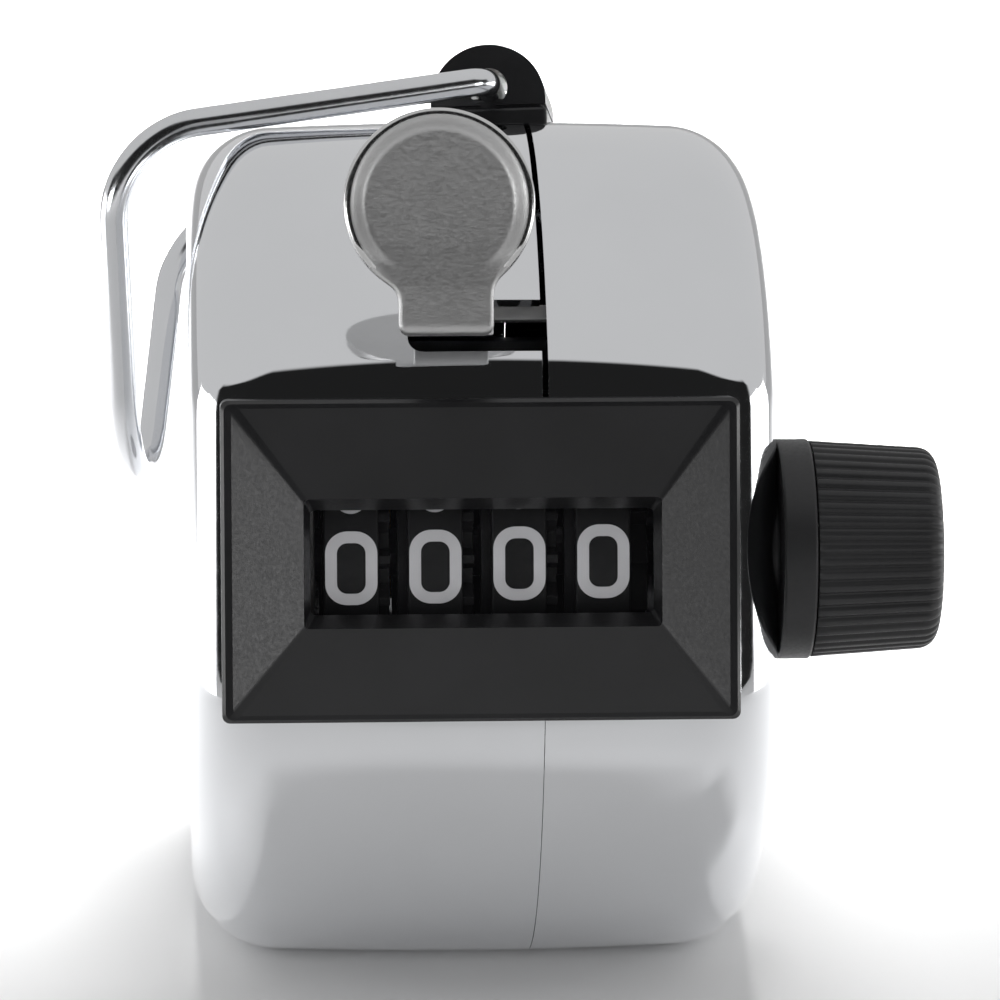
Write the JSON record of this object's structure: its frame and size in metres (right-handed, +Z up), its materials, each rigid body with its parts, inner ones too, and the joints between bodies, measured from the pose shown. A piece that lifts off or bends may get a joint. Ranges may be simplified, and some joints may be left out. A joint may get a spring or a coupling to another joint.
{
  "type": "hand tally counter",
  "caption": "Drum-shaped chrome hand tally counter with number wheels behind a framed window, a thumb lever, a reset knob and a finger ring.",
  "frame": {"origin": "centre of the flat foot that the case stands on, under the drum's axis", "axes": "+X along the drum's axis to the reset knob, +Y to the rear, away from the window, +Z up; the window leans back by 15 degrees"},
  "size_m": [0.0439, 0.0474, 0.05],
  "materials": {
    "case_chrome": "polished plating",
    "ring_chrome": "polished plating on drawn wire",
    "black_plastic": "satin moulded",
    "lens": "clear",
    "wheel_plastic": "matte with printed white digits",
    "nickel": "satin nickel",
    "frame_steel": "bright zinc",
    "brass": "machined"
  },
  "bodies": {
    "case": {"left_shell": "case_chrome", "right_shell": "case_chrome", "window_bezel": "black_plastic", "window_lens": "lens", "ring_lug": "black_plastic", "reset_bush": "black_plastic", "case_screw": "nickel", "left_plate": "frame_steel", "right_plate": "frame_steel", "spacer_rear_upper": "frame_steel", "spacer_rear_lower": "frame_steel", "spacer_front": "frame_steel", "core_post": "frame_steel", "pinion_shaft": "frame_steel", "lever_pivot_pin": "frame_steel", "detent_spring": "frame_steel", "return_spring": "frame_steel"},
    "lever": {"thumb_lever": "nickel", "pawl_pin": "frame_steel"},
    "pawl": {"drive_pawl": "frame_steel"},
    "units": {"units_wheel": "wheel_plastic"},
    "tens": {"tens_wheel": "wheel_plastic"},
    "hundreds": {"hundreds_wheel": "wheel_plastic"},
    "thousands": {"thousands_wheel": "wheel_plastic"},
    "tens_carry": {"pinion_tens": "brass"},
    "hundreds_carry": {"pinion_hundreds": "brass"},
    "thousands_carry": {"pinion_thousands": "brass"},
    "knob": {"reset_knob": "black_plastic", "main_shaft": "frame_steel", "shaft_clip": "frame_steel"},
    "ring": {"finger_ring": "ring_chrome"}
  },
  "joints": [
    {"name": "lever_press", "type": "hinge", "parent": "case", "child": "lever", "pos_m": [0, -0.01946, 0.0182], "axis": [-1, 0, 0], "range_deg": [0, 10.5], "stiffness_Nm_per_rad": 0.05, "springref_deg": -34.38},
    {"name": "units_spin", "type": "hinge", "parent": "case", "child": "units", "pos_m": [0, -0.0141, 0.02546], "axis": [-1, 0, 0], "range_deg": [0, 36]},
    {"name": "tens_spin", "type": "hinge", "parent": "case", "child": "tens", "pos_m": [0, -0.0141, 0.02546], "axis": [-1, 0, 0], "continuous": true},
    {"name": "hundreds_spin", "type": "hinge", "parent": "case", "child": "hundreds", "pos_m": [0, -0.0141, 0.02546], "axis": [-1, 0, 0], "continuous": true},
    {"name": "thousands_spin", "type": "hinge", "parent": "case", "child": "thousands", "pos_m": [0, -0.0141, 0.02546], "axis": [-1, 0, 0], "continuous": true},
    {"name": "tens_carry_spin", "type": "hinge", "parent": "case", "child": "tens_carry", "pos_m": [0, -0.00531, 0.02311], "axis": [-1, 0, 0], "continuous": true},
    {"name": "hundreds_carry_spin", "type": "hinge", "parent": "case", "child": "hundreds_carry", "pos_m": [0, -0.00531, 0.02311], "axis": [-1, 0, 0], "continuous": true},
    {"name": "thousands_carry_spin", "type": "hinge", "parent": "case", "child": "thousands_carry", "pos_m": [0, -0.00531, 0.02311], "axis": [-1, 0, 0], "continuous": true},
    {"name": "pawl_lift", "type": "hinge", "parent": "lever", "child": "pawl", "pos_m": [0, -0.01696, 0.03182], "axis": [1, 0, 0], "range_deg": [0, 12], "stiffness_Nm_per_rad": 0.001, "springref_deg": -17.19},
    {"name": "knob_turn", "type": "hinge", "parent": "case", "child": "knob", "pos_m": [0, -0.0141, 0.02546], "axis": [1, 0, 0], "continuous": true},
    {"name": "ring_swing", "type": "hinge", "parent": "case", "child": "ring", "pos_m": [0.0016, 0.01086, 0.04348], "axis": [0.1392, 0.8862, -0.4419], "range_deg": [0, 190]}
  ],
  "couplings": [
    {"joint": "units_spin", "follows": "lever_press", "ratio": 3.4286},
    {"joint": "tens_carry_spin", "follows": "tens_spin", "ratio": -2.5},
    {"joint": "hundreds_carry_spin", "follows": "hundreds_spin", "ratio": -2.5},
    {"joint": "thousands_carry_spin", "follows": "thousands_spin", "ratio": -2.5}
  ]
}
